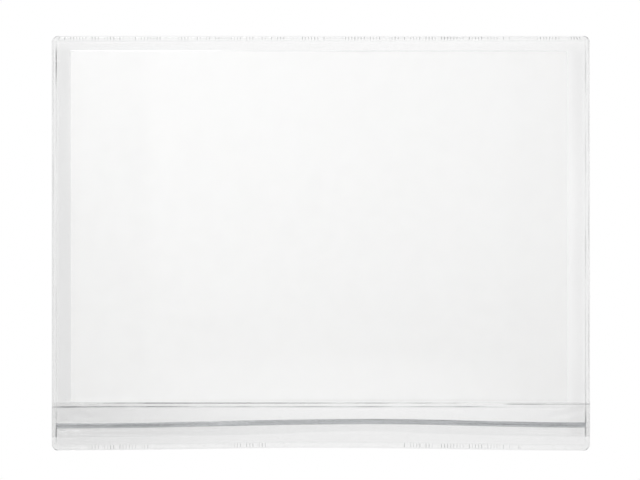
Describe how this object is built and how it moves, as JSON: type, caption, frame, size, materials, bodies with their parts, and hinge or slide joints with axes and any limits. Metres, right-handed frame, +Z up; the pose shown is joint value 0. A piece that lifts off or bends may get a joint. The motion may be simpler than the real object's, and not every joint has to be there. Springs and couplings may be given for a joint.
{
  "type": "magnetic document pocket",
  "caption": "Clear welded landscape pocket for a sheet of paper, open at a beaded lip above its lower edge and held on steel by magnet strips behind it.",
  "frame": {"origin": "the middle of the upper magnet strip's rear face, where the pocket meets the steel surface that holds it", "axes": "+X to the right as the pocket is read, +Z up, +Y into the surface behind it, so the front faces -Y"},
  "size_m": [0.322, 0.0062, 0.248],
  "materials": {
    "clear_film": "clear, smooth, glossy",
    "white_paper": "plain uncoated office paper",
    "magnet_rubber": "matt, calendered",
    "adhesive_tape": "thin adhesive film"
  },
  "bodies": {
    "root": {"back_film": "clear_film", "front_film": "clear_film", "lower_strip": "clear_film", "insert_sheet": "white_paper", "magnet_upper": "magnet_rubber", "magnet_lower": "magnet_rubber", "tape_upper": "adhesive_tape", "tape_lower": "adhesive_tape"}
  },
  "joints": []
}
